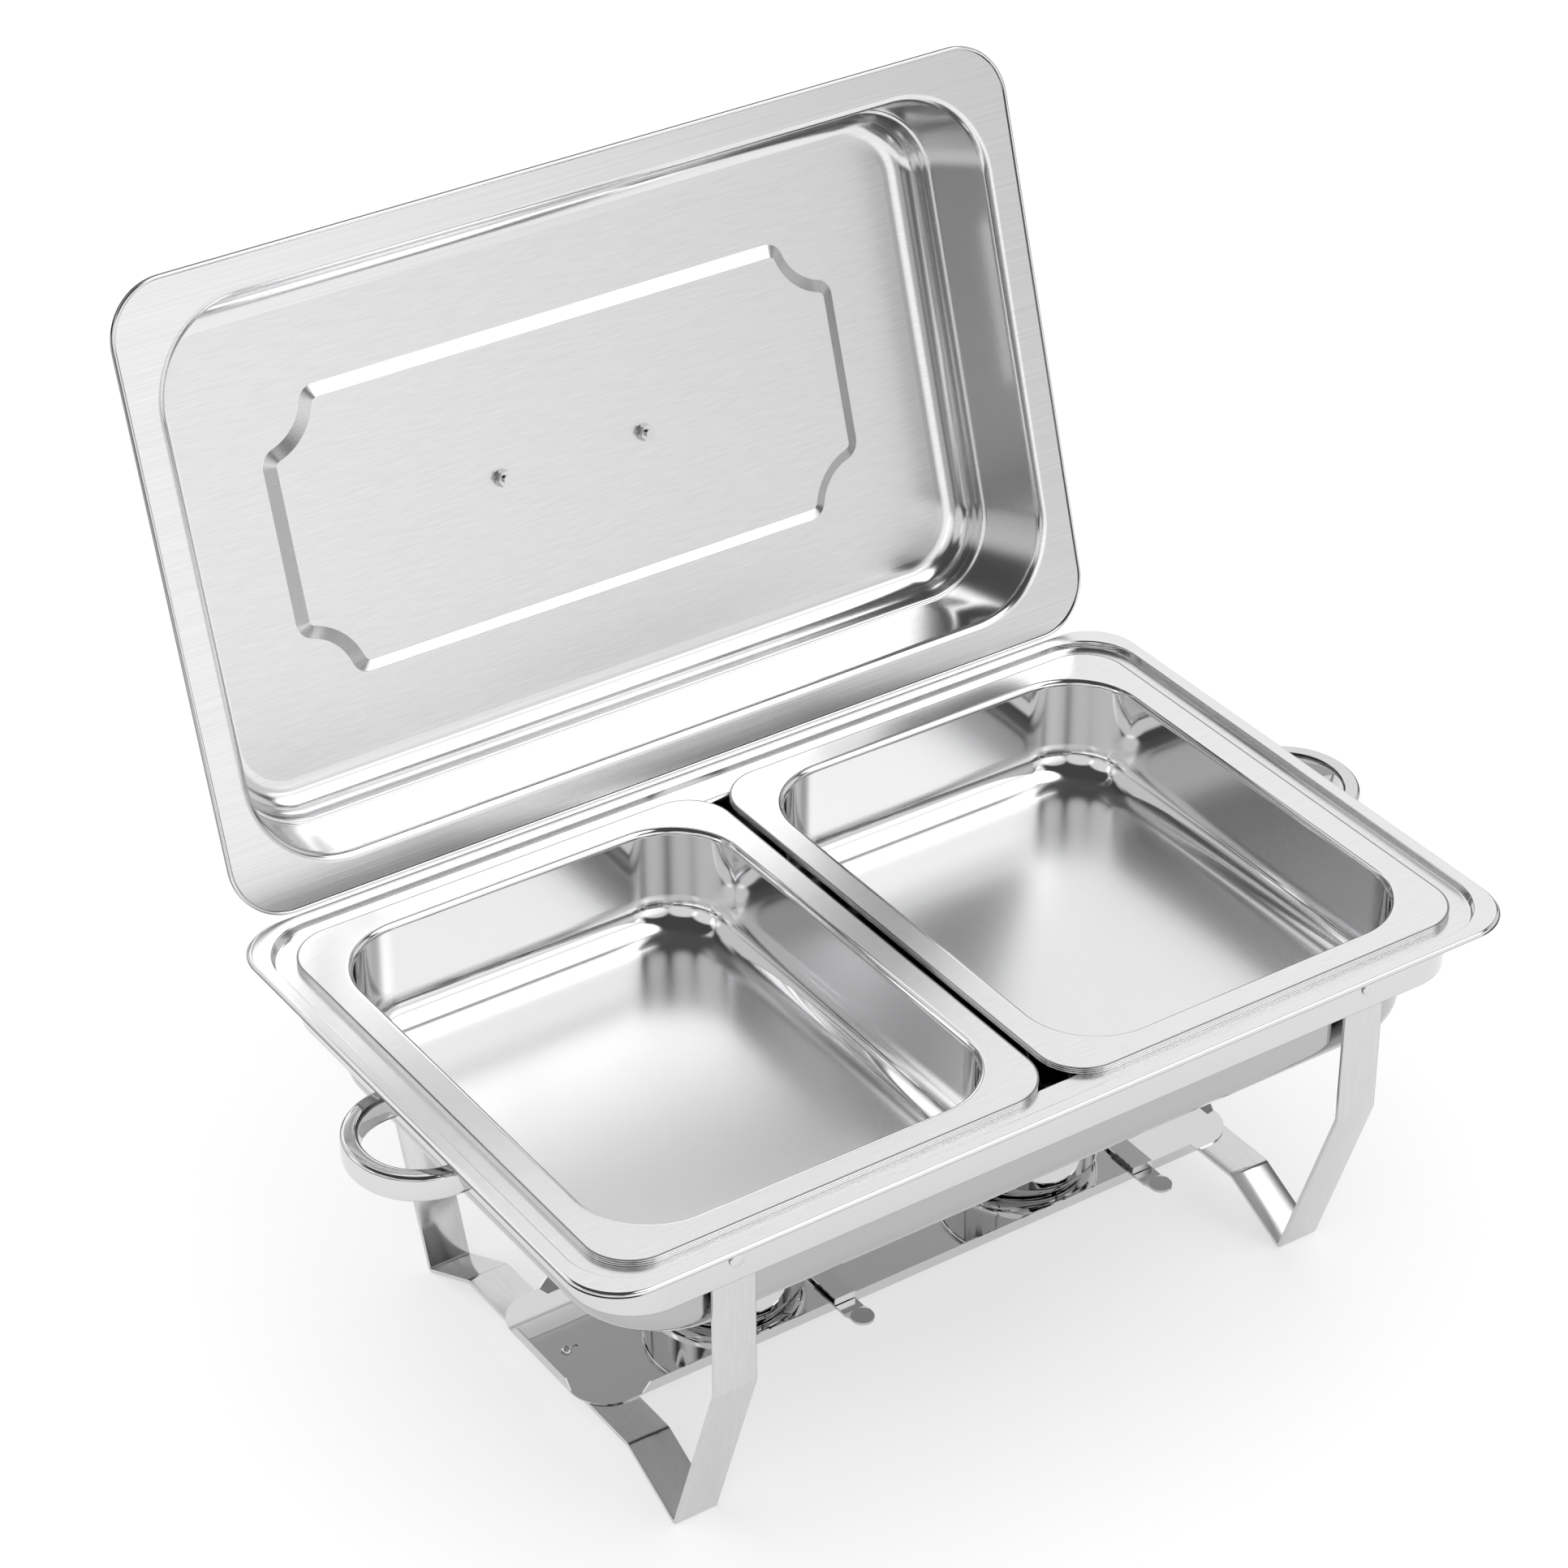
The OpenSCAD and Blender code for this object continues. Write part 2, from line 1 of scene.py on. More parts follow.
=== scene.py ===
"""Looks of the chafing dish food warmer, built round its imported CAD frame."""

import json
import math

import bmesh
import bpy
from mathutils import Matrix, Vector
from mathutils.geometry import tessellate_polygon


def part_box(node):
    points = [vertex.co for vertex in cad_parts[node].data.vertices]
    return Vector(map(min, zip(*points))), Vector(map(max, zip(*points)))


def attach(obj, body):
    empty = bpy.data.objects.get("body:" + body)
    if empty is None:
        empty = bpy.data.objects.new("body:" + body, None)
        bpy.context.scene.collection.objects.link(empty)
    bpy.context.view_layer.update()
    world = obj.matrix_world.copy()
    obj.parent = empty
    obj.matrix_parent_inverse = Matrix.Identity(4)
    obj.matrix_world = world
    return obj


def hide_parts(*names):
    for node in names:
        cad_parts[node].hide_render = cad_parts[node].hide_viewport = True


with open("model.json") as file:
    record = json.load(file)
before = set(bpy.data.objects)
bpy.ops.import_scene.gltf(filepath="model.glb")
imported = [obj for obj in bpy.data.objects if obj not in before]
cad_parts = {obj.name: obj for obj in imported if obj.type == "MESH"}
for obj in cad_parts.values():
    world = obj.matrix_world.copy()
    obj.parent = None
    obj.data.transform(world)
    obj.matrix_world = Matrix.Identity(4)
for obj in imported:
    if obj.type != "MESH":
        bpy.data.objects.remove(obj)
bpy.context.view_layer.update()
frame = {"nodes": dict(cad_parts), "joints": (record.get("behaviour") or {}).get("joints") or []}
NODES = frame["nodes"]
MM = 0.001

# ---- camera: the three-quarter view from the front left, slightly above ----

CAMERA_PLACE = Vector((-1.1348, -1.6714, 1.5847))
CAMERA_RIGHT = Vector((0.8257, -0.5642, 0.0))
CAMERA_BACK = Vector((-0.4719, -0.6906, 0.5482))
LENS_MM = 105.3
SHIFT = (-0.0148, 0.0038)


def add_camera():
    data = bpy.data.cameras.new("camera")
    data.lens = LENS_MM
    data.sensor_width = 36.0
    data.shift_x, data.shift_y = SHIFT
    data.clip_end = 50.0
    camera = bpy.data.objects.new("camera", data)
    right = CAMERA_RIGHT.normalized()
    back = (CAMERA_BACK - right * CAMERA_BACK.dot(right)).normalized()
    turn = Matrix((right, back.cross(right), back)).transposed()
    camera.matrix_world = Matrix.Translation(CAMERA_PLACE) @ turn.to_4x4()
    bpy.context.collection.objects.link(camera)
    bpy.context.scene.camera = camera


# ---- sizes in millimetres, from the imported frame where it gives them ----


def box_mm(node):
    low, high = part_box(node)
    return low / MM, high / MM


RAIL_LOW, RAIL_HIGH = box_mm("rail")
PAN_LOW, PAN_HIGH = box_mm("water_pan")
FOOD_LOW, FOOD_HIGH = box_mm("right_food_pan")
LEG_LOW, LEG_HIGH = box_mm("right_leg")
CUP_LOW, CUP_HIGH = box_mm("right_fuel_cup")
LOOP_LOW, LOOP_HIGH = box_mm("right_handle")
MID_Y = (RAIL_LOW.y + RAIL_HIGH.y) / 2  # front-to-back middle of the stand

SHEET = 0.8

RIM_Z = PAN_HIGH.z
LEDGE_Z = RIM_Z - 4.3
BAND_W = 8.6
STEP_IN = 0.8
TUB_IN = 30.35  # from the rim's outer edge to the outside of the body
TUB_EXTRA_W = 3.55  # how much nearer the rim's edge the body is at the front and back
TUB_FILLET = 14.0
LIP_FOOT = RIM_Z - 2.6
RIM_R, STEP_R, TUB_R = 30.0, 34.0, 52.0  # corner radii of the rim's edge, the step and the body

FOOD_RIM = 14.0
FOOD_FOLD = 3.5
FOOD_FILLET = 20.0
FOOD_WALL = 16.7  # from the rim's outer edge to the outside of the wall
FOOD_R, MOUTH_R = 27.0, 44.7  # corner radii of the rim's edge and of the mouth
FOOD_BEADS, FOOD_BEAD_R = 3, 0.6
MATT_LOW, MATT_HIGH = FOOD_LOW.z + 1.15, FOOD_LOW.z + 4.65  # the matt floor fades out between

LID_L, LID_W = 552.2, 344.0
LID_SEAT = FOOD_HIGH.z + 0.25
LID_R = 33.0
LID_FOLD_R = 57.0
LID_FOLD_IN = 17.2
BEAD_W, BEAD_LOW, BEAD_TALL = 2.2, -1.0, 3.6
SHOULDER_Z = LID_SEAT + 44.0
SHOULDER_IN, SHOULDER_W = 29.14, 2.0
LID_LEAN = math.radians(10)
LID_TOP = LID_SEAT + 64.5
CROWN_R = 14.2

PLAQUE_L, PLAQUE_W = 364.0, 162.0
NOTCH_R = 29.0
NOTCH_SHOULDER = 11.0
PLAQUE_SLOPE = 8.0
PLAQUE_DEPTH = 3.0
PLAQUE_MARGIN = 1.5  # flat on each side of the plaque's slope

EDGE_R = 0.5  # rounding of the rail's and the straps' edges
RAIL_T, RAIL_R = 1.5, 34.0
STRAP_T = 2.5
KNEE_Z = 111.6
FOOT_Y, FOOT_Z = 122.0, 0.56
BAR_Y = 79.3
BAR_Z = 22.9
PIVOT_X, PIVOT_Z = 196.85, 194.1

LOOP_TALL, LOOP_T, LOOP_R = 15.0, 9.5, 2.5
LOOP_STEPS = 6
LOOP_BEND = 35.0
KNOB_BEND = 26.0
KNOB_OUT = 38.0
BOLT_GAP = 91.4

CORNER_STEPS = 24
BEND_STEPS = 8
ROUND_STEPS = 96
GUARD = 0.12  # a bend's shading ends this far along the flats beside it
SHARP_ANGLE = math.radians(34)


# ---- shapes ----


def arc(x, y, radius, start, end, steps):
    """Points along an arc, from the start angle to the end angle in degrees."""
    angles = (math.radians(start + (end - start) * k / steps) for k in range(steps + 1))
    return [(x + radius * math.cos(a), y + radius * math.sin(a)) for a in angles]


def round_rect(half_l, half_w, radius, steps=CORNER_STEPS):
    """Points of a rounded rectangle about the origin, anticlockwise."""
    x, y = half_l - radius, half_w - radius
    points = []
    for turn, (sx, sy) in enumerate(((1, 1), (-1, 1), (-1, -1), (1, -1))):
        points += arc(sx * x, sy * y, radius, 90 * turn, 90 * turn + 90, steps)
    return points


def corner_faces(corner, steps, trim=0):
    """Numbers of the faces round one corner of a rounded rectangle, less some at each end."""
    first = corner * (steps + 1)
    return range(first + trim, first + steps - trim)


def rounded_path(corners, steps=BEND_STEPS):
    """Polyline through corners of (x, y, bend radius), with each bend drawn as an arc."""
    path = []
    for i, (x, y, radius) in enumerate(corners):
        here = Vector((x, y))
        if radius == 0:
            path.append(here)
            continue
        back = (Vector(corners[i - 1][:2]) - here).normalized()
        ahead = (Vector(corners[i + 1][:2]) - here).normalized()
        half = back.angle(ahead) / 2
        centre = here + (back + ahead).normalized() * (radius / math.sin(half))
        start = here + back * (radius / math.tan(half)) - centre
        end = here + ahead * (radius / math.tan(half)) - centre
        turn = math.degrees(start.angle_signed(end))
        first = math.degrees(math.atan2(start.y, start.x))
        path.append(centre + start + back * GUARD)
        path += [Vector(p) for p in arc(centre.x, centre.y, radius, first, first - turn, steps)]
        path.append(centre + end + ahead * GUARD)
    return path


def beside(path, distance):
    """The polyline that runs the given distance to the left of a path."""
    moved = []
    for i, here in enumerate(path):
        before = (here - path[i - 1]).normalized() if i else (path[1] - here).normalized()
        after = (path[i + 1] - here).normalized() if i < len(path) - 1 else before
        left = Vector((-before.y - after.y, before.x + after.x)).normalized()
        moved.append(here + left * (distance / left.dot(Vector((-before.y, before.x)))))
    return moved


def make_mesh(name, points, faces, looks, materials, body, nodes):
    """A smooth piece from points in millimetres, riding on a body and shown for its CAD nodes.

    Looks gives each face's number in the list of materials."""
    mesh = bpy.data.meshes.new(name)
    mesh.from_pydata([Vector(p) * MM for p in points], [], faces)
    mesh.polygons.foreach_set("material_index", looks)
    tidy = bmesh.new()
    tidy.from_mesh(mesh)
    bmesh.ops.remove_doubles(tidy, verts=tidy.verts, dist=0.00001)
    bmesh.ops.recalc_face_normals(tidy, faces=tidy.faces)
    tidy.to_mesh(mesh)
    tidy.free()
    mesh.shade_smooth()
    mesh.set_sharp_from_angle(angle=SHARP_ANGLE)
    for material in materials:
        mesh.materials.append(material)
    obj = bpy.data.objects.new(name, mesh)
    bpy.context.collection.objects.link(obj)
    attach(obj, body)
    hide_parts(*nodes)


class Shell:
    """Points and faces gathered ring by ring."""

    def __init__(self):
        self.points, self.faces, self.looks = [], [], []

    def add_rings(self, rings, closed=False, caps=(False, False), face_look=lambda i, k: 0):
        """Skins rings of equal length. Closed joins the last ring to the first.

        Its last argument gives the look of the face after point k of ring i, which some callers use
        for painted shade on edges, creases and undersides."""
        size, base = len(rings[0]), len(self.points)
        for ring in rings:
            self.points += ring
        for i in range(len(rings) if closed else len(rings) - 1):
            one, two = base + i * size, base + (i + 1) % len(rings) * size
            for k in range(size):
                n = (k + 1) % size
                self.faces.append((one + k, one + n, two + n, two + k))
                self.looks.append(face_look(i, k))
        if caps[0]:
            self.faces.append(tuple(range(base + size - 1, base - 1, -1)))
        if caps[1]:
            last = base + (len(rings) - 1) * size
            self.faces.append(tuple(range(last, last + size)))
        self.set_looks(face_look(0, 0))
        return base

    def set_looks(self, look):
        """Gives the faces added since the last call their material's number."""
        self.looks += [look] * (len(self.faces) - len(self.looks))

    def make(self, name, materials, body, nodes, place=Matrix.Identity(4)):
        points = [place @ Vector(p) for p in self.points]
        make_mesh(name, points, self.faces, self.looks, materials, body, nodes)


def stand_place(x=0.0, y=0.0, z=0.0):
    return Matrix.Translation((x, MID_Y + y, z))


def swept_ring(shape, point):
    """The rounded rectangle that a section point (inset, height) traces round a part."""
    inset, z = point
    return [(x, y, z) for x, y in round_rect(*shape(inset))]


def sheet_section(path, thickness, edge):
    """A sheet's section: its far face from the middle out, its edge, and its near face back in."""
    far = beside(path, thickness)
    return [tuple(p) for p in reversed(far)] + edge + [tuple(p) for p in path]


# ---- materials ----


def new_material(name):
    material = bpy.data.materials.new(name)
    material.use_nodes = True
    return material, material.node_tree.nodes, material.node_tree.links


def noise_of(nodes, links, scale, detail):
    """Noise stretched by its scale along each axis, per metre."""
    where = nodes.new("ShaderNodeTexCoord")
    stretch = nodes.new("ShaderNodeMapping")
    stretch.inputs["Scale"].default_value = scale
    noise = nodes.new("ShaderNodeTexNoise")
    noise.inputs["Scale"].default_value = 1.0
    noise.inputs["Detail"].default_value = detail
    links.new(where.outputs["Object"], stretch.inputs["Vector"])
    links.new(stretch.outputs["Vector"], noise.inputs["Vector"])
    return noise


def map_range(nodes, **sides):
    """A Map Range node, its sides given as from_min, from_max, to_min and to_max."""
    node = nodes.new("ShaderNodeMapRange")
    for side, value in sides.items():
        node.inputs[side.replace("_", " ").title()].default_value = value
    return node


def smudge_steel(nodes, links, shader, low, high):
    """Varies the roughness between low and high, in soft clouds."""
    cloud = noise_of(nodes, links, (14.0, 14.0, 14.0), 3.0)
    spread = map_range(nodes, to_min=low, to_max=high)
    links.new(cloud.outputs["Fac"], spread.inputs["Value"])
    links.new(spread.outputs["Result"], shader.inputs["Roughness"])


def brush_steel(nodes, links, shader, grain, depth):
    """Brushes the surface with fine lines, as a bump and as a slight change of colour."""
    noise = noise_of(nodes, links, grain, 4.0)
    bump = nodes.new("ShaderNodeBump")
    bump.inputs["Strength"].default_value = depth
    bump.inputs["Distance"].default_value = 0.0002
    links.new(noise.outputs["Fac"], bump.inputs["Height"])
    links.new(bump.outputs["Normal"], shader.inputs["Normal"])
    tint = map_range(nodes, from_min=0.3, from_max=0.7, to_min=0.95, to_max=1.03)
    shade = nodes.new("ShaderNodeMix")
    shade.data_type = "RGBA"
    shade.blend_type = "MULTIPLY"
    shade.inputs["Factor"].default_value = 1.0
    shade.inputs["A"].default_value = shader.inputs["Base Color"].default_value
    links.new(noise.outputs["Fac"], tint.inputs["Value"])
    links.new(tint.outputs["Result"], shade.inputs["B"])
    links.new(shade.outputs["Result"], shader.inputs["Base Color"])


def steel(name, colour, roughness, smudge=0.0, grain=None, depth=0.0):
    """Stainless steel. Smudge varies its roughness; grain is the brushing's scale along each axis."""
    material, nodes, links = new_material(name)
    shader = nodes["Principled BSDF"]
    shader.inputs["Base Color"].default_value = (*colour, 1.0)
    shader.inputs["Metallic"].default_value = 1.0
    shader.inputs["Roughness"].default_value = roughness
    if smudge:
        smudge_steel(nodes, links, shader, max(roughness - smudge, 0.0), roughness + smudge)
    if grain:
        brush_steel(nodes, links, shader, grain, depth)
    return material


def soften_below(material, low, high, roughness):
    """Makes a steel rougher below a height band, in metres, as on a pan's matt floor."""
    nodes, links = material.node_tree.nodes, material.node_tree.links
    shader = nodes["Principled BSDF"]
    above = shader.inputs["Roughness"].default_value
    where = nodes.new("ShaderNodeTexCoord")
    parts = nodes.new("ShaderNodeSeparateXYZ")
    share = map_range(nodes, from_min=low, from_max=high, to_min=roughness, to_max=above)
    share.interpolation_type = "SMOOTHSTEP"
    links.new(where.outputs["Object"], parts.inputs["Vector"])
    links.new(parts.outputs["Z"], share.inputs["Value"])
    links.new(share.outputs["Result"], shader.inputs["Roughness"])


# Dark steel laid on rounded edges, hem curls, bead creases and rivet rims: painted shade.
PAINTED_EDGE_SHADE = steel("edge", (0.26, 0.26, 0.265), 0.12)
# The water pan's outside and underside: the same steel as its inside, painted darker as shade.
UNDERSIDE_SHADE = steel("underside", (0.46, 0.46, 0.465), 0.10)
SHELF = steel("shelf", (0.64, 0.64, 0.645), 0.03)
MIRROR = steel("mirror", (0.80, 0.80, 0.805), 0.03, smudge=0.012)
POLISHED = steel("polished", (0.66, 0.66, 0.665), 0.055, smudge=0.02)
PAN = steel("pan", (0.80, 0.80, 0.805), 0.07)
RIM = steel("rim", (0.80, 0.80, 0.805), 0.24, grain=(60.0, 1500.0, 1500.0), depth=0.05)
SATIN = steel("satin", (0.50, 0.50, 0.505), 0.13, smudge=0.03)
ALONG_LEG = steel("satin_leg", (0.63, 0.63, 0.635), 0.14, grain=(1500.0, 60.0, 60.0), depth=0.04)
LID_SIDE = steel("lid_side", (0.74, 0.74, 0.745), 0.15, grain=(9.0, 900.0, 900.0), depth=0.02)
BRUSHED = steel("brushed", (0.72, 0.72, 0.725), 0.24, grain=(60.0, 1500.0, 1500.0), depth=0.09)
soften_below(PAN, MATT_LOW * MM, MATT_HIGH * MM, 0.23)

LOOKS = {
    "left_cup_handle": SATIN,
    "right_cup_handle": SATIN,
    "lid_washers": SATIN,
    "shelf": SHELF,
}


def dress_frame():
    for name, obj in NODES.items():
        obj.data.materials.clear()
        obj.data.materials.append(LOOKS.get(name, POLISHED))


# ---- stand ----


def add_rail():
    half = (RAIL_HIGH - RAIL_LOW) / 2
    mid_z = (RAIL_LOW.z + RAIL_HIGH.z) / 2
    steps = 4
    outline = round_rect(RAIL_T / 2, half.z, EDGE_R, steps)
    section = [(x + RAIL_T / 2, z + mid_z) for x, z in outline]
    # The band's lower rounded edge gets the dark edge steel: painted shade along the rail's
    # underside.
    low_edge_shade = corner_faces(2, steps)

    def shape(inset):
        return half.x - inset, half.y - inset, RAIL_R - inset

    shell = Shell()
    shell.add_rings([swept_ring(shape, p) for p in section], True, face_look=lambda i, k: i in low_edge_shade)
    shell.make("rail_band", [POLISHED, PAINTED_EDGE_SHADE], "frame", ["rail"], stand_place())


def loop_rings(span, reach, bend):
    """Rings of a handle bar that leaves a wall at x = 0, loops out along +X and comes back."""
    half = (span - LOOP_T) / 2
    far = reach - LOOP_T / 2
    corners = [(0, -half, 0), (far, -half, bend), (far, half, bend), (0, half, 0)]
    path = rounded_path(corners, steps=32)
    section = round_rect(LOOP_T / 2, LOOP_TALL / 2, LOOP_R, LOOP_STEPS)
    lines = {s: beside(path, s) for s in {x for x, _ in section}}
    return [[(*lines[x][i], z) for x, z in section] for i in range(len(path))]


def add_end_handle(side):
    name = "right_handle" if side > 0 else "left_handle"
    rings = loop_rings(LOOP_HIGH.y - LOOP_LOW.y, LOOP_HIGH.x - RAIL_HIGH.x, LOOP_BEND)
    # The inner top corner and the outer foot corner get the dark edge steel: a painted dark outline
    # of shade.
    inner_top, outer_foot = corner_faces(0, LOOP_STEPS, 2), corner_faces(2, LOOP_STEPS, 2)
    dark = {*inner_top, *outer_foot}
    shell = Shell()
    shell.add_rings(rings, caps=(True, True), face_look=lambda i, k: k in dark)
    turn = Matrix.Diagonal((side, 1, 1, 1))
    mid_z = (LOOP_LOW.z + LOOP_HIGH.z) / 2
    place = stand_place(0, 0, mid_z) @ turn @ Matrix.Translation((RAIL_HIGH.x, 0, 0))
    shell.make(name + "_loop", [POLISHED, PAINTED_EDGE_SHADE], "frame", [name], place)


def add_leg(side):
    """Bent strap: up one side, along the crossbar and up the other, with rounded tops."""
    name = "right_leg" if side > 0 else "left_leg"
    half_w = (LEG_HIGH.x - LEG_LOW.x) / 2
    outer = (LEG_HIGH.y - LEG_LOW.y) / 2 - STRAP_T / 2
    bar = BAR_Z - STRAP_T / 2
    round_top = [math.radians(a) for a in range(3, 90, 6)]
    tops = [(PIVOT_Z + half_w * math.cos(a), math.sin(a)) for a in round_top]
    bends = rounded_path([
        (-outer, PIVOT_Z, 0), (-outer, KNEE_Z, 5), (-FOOT_Y, FOOT_Z, 1.9), (-BAR_Y, bar, 7),
        (BAR_Y, bar, 7), (FOOT_Y, FOOT_Z, 1.9), (outer, KNEE_Z, 5), (outer, PIVOT_Z, 0)])
    path = [Vector((-outer, z)) for z, _ in tops] + bends
    path += [Vector((outer, z)) for z, _ in reversed(tops)]
    widths = [w for _, w in tops] + [1.0] * len(bends) + [w for _, w in reversed(tops)]
    steps = 3
    edge = round_rect(half_w, STRAP_T / 2, EDGE_R, steps)
    lines = {s: beside(path, s) for s in {t for _, t in edge}}
    rings = [[(x * widths[i], *lines[t][i]) for x, t in edge] for i in range(len(path))]
    # One rounded corner of the strap gets the dark edge steel: painted shade along that side.
    shaded_strap_edge = corner_faces(3, steps)
    shell = Shell()
    shell.add_rings(rings, caps=(True, True), face_look=lambda i, k: k in shaded_strap_edge)
    shell.make(name + "_strap", [ALONG_LEG, PAINTED_EDGE_SHADE], name, [name], stand_place(side * PIVOT_X))


def turned(profile, steps=ROUND_STEPS):
    """Rings of a shape turned about the Z axis, from a profile of (radius, height)."""
    angles = [2 * math.pi * k / steps for k in range(steps)]
    return [[(r * math.cos(a), r * math.sin(a), z) for a in angles] for r, z in profile]


def add_rivets():
    """Low domed heads outside the rail and flattened tails inside the straps."""
    head_r, head_low, head_tall, tail_r, shank_r = 4.1, 0.7, 2.0, 4.1, 2.5
    reach = RAIL_HIGH.y - MID_Y
    strap_gap, tail_gap, tail_t = 0.1, 0.05, 1.0
    inner = reach - RAIL_T - strap_gap - STRAP_T - tail_gap
    curve = [math.radians(a) for a in range(10, 90, 10)]
    dome = [(head_r, 0), (head_r, head_low)] + [
        (head_r * math.cos(a), head_low + (head_tall - head_low) * math.sin(a)) for a in curve]
    tail = [
        (0.4, inner - tail_t), (tail_r, inner - tail_t), (tail_r, inner), (shank_r, inner),
        (shank_r, reach)]
    profile = tail + [(r, reach + z) for r, z in dome]
    shell = Shell()
    for x in (-PIVOT_X, PIVOT_X):
        for side in (-1, 1):
            face = Matrix.Translation((x, 0, PIVOT_Z)) @ Matrix.Rotation(-side * math.pi / 2, 4, "X")
            rings = [[face @ Vector(p) for p in ring] for ring in turned(profile, 40)]
            # The band round the rim of each head gets the dark edge steel: a painted dark outline of
            # shade.
            shell.add_rings(rings, caps=(True, True), face_look=lambda i, k: i == len(tail))
    shell.make("rivet_heads", [POLISHED, PAINTED_EDGE_SHADE], "frame", ["pivot_rivets"], stand_place())


# ---- fuel cups ----


def add_cup(side):
    name = "right_fuel_cup" if side > 0 else "left_fuel_cup"
    wall, curl, fillet, core = 0.9, 1.3, 10.0, 8.0
    floor = CUP_LOW.z
    radius = (CUP_HIGH.x - CUP_LOW.x) / 2 - curl + wall / 2
    curl_z = CUP_HIGH.z - curl
    inner = rounded_path([
        (core, floor + wall, 0), (radius - wall, floor + wall, fillet - wall),
        (radius - wall, curl_z - 1, 0)])
    outer = rounded_path([
        (radius, curl_z - 1, 0), (radius, floor, fillet), (core, floor, 0)])
    rim = arc(radius - wall / 2, curl_z, curl, 230, -50, 20)
    profile = [tuple(p) for p in inner] + rim + [tuple(p) for p in outer]
    shell = Shell()
    shell.add_rings(turned(profile), caps=(True, True))
    mid_x = (CUP_LOW.x + CUP_HIGH.x) / 2
    body = "right_cup" if side > 0 else "left_cup"
    shell.make(name + "_body", [MIRROR], body, [name], stand_place(side * mid_x))


# ---- pans ----


def add_water_pan():
    half_l = (PAN_HIGH.x - PAN_LOW.x) / 2
    half_w = (PAN_HIGH.y - PAN_LOW.y) / 2
    wall = TUB_IN + SHEET
    floor = PAN_LOW.z + SHEET
    hem = 0.75
    face = 0.5
    middle = wall + TUB_FILLET + 4

    def shape(inset):
        across = inset
        if inset < BAND_W:
            radius = RIM_R + (STEP_R - RIM_R) * inset / BAND_W
        elif inset < TUB_IN:
            share = (inset - BAND_W) / (TUB_IN - BAND_W)
            radius = STEP_R + share * (TUB_R - STEP_R)
            across -= TUB_EXTRA_W * share
        else:
            radius = TUB_R + TUB_IN - inset
            across -= TUB_EXTRA_W
        return half_l - inset, half_w - across, radius

    path = rounded_path([
        (face, LIP_FOOT + hem, 0), (face, RIM_Z, 1.6), (BAND_W, RIM_Z, 0.9),
        (BAND_W + STEP_IN, LEDGE_Z, 0.9), (wall, LEDGE_Z, 2.8),
        (wall, floor, TUB_FILLET - SHEET), (middle, floor, 0)])
    edge = arc(hem, LIP_FOOT + hem, hem, 0, -160, 12)
    section = sheet_section(path, -SHEET, edge)
    shell = Shell()
    # The far face, the tub's outside and underside, gets the darker underside steel, and the hem's
    # curl the dark edge steel: both painted shade.
    looks = [2] * len(path) + [1] * len(edge) + [0] * len(path)
    top_face, bend_points = len(path) + len(edge), BEND_STEPS + 3
    band, ledge = top_face + bend_points, top_face + 3 * bend_points
    looks[band] = looks[ledge] = 3
    rings = [swept_ring(shape, p) for p in section]
    shell.add_rings(rings, caps=(True, True), face_look=lambda i, k: looks[i])
    materials = [PAN, PAINTED_EDGE_SHADE, UNDERSIDE_SHADE, RIM]
    shell.make("water_pan_shell", materials, "water_pan", ["water_pan"], stand_place())


def add_food_pan(side):
    name = "right_food_pan" if side > 0 else "left_food_pan"
    half_l = (FOOD_HIGH.x - FOOD_LOW.x) / 2
    half_w = (FOOD_HIGH.y - FOOD_LOW.y) / 2
    top, floor = FOOD_HIGH.z, FOOD_LOW.z + SHEET
    wall = FOOD_WALL + SHEET
    middle = FOOD_WALL + FOOD_FILLET + 4
    bead = FOOD_BEAD_R
    low = top - FOOD_BEADS * bead * 2
    hem = 2.0
    hem_r = FOOD_R - hem

    def shape(inset):
        if inset < hem:
            radius = FOOD_R - inset
        elif inset < FOOD_RIM:
            radius = hem_r + (inset - hem) / (FOOD_RIM - hem) * (MOUTH_R - hem_r)
        else:
            radius = MOUTH_R + FOOD_RIM - inset
        return half_l - inset, half_w - inset, radius

    path = rounded_path([
        (bead * 2, top, 0), (wall, top, FOOD_FOLD), (wall, floor, FOOD_FILLET - SHEET),
        (middle, floor, 0)], 12)
    edge = [(bead * 2, low)]
    for k in range(FOOD_BEADS):
        edge += arc(bead, low + bead + bead * 2 * k, bead, -90, -270, BEND_STEPS)
    section = sheet_section(path, -SHEET, edge)
    shell = Shell()
    # The creases between the rolled beads get the dark edge steel: painted shade.
    seams = [len(path) + (BEND_STEPS + 1) * k for k in range(1, FOOD_BEADS + 1)]
    looks = {seam + n: 1 for seam in seams for n in (-2, -1, 0)}
    rim_face = len(path) + len(edge)
    looks[rim_face] = 2
    rings = [swept_ring(shape, p) for p in section]
    shell.add_rings(rings, caps=(True, True), face_look=lambda i, k: looks.get(i, 0))
    mid_x = (FOOD_LOW.x + FOOD_HIGH.x) / 2
    shell.make(name + "_shell", [PAN, PAINTED_EDGE_SHADE, RIM], name, [name], stand_place(side * mid_x))


# ---- lid: shaped closed, then swung open about its hinge ----


def open_lid():
    """The turn that opens the closed lid, from its joint."""
    joint = next(j for j in frame["joints"] if j["name"] == "lid_tilt")
    pivot = Vector(joint["pos_m"]) / MM
    swing = Matrix.Rotation(math.radians(joint["range_deg"][0]), 4, "X")
    return Matrix.Translation(pivot) @ swing @ Matrix.Translation(-pivot)


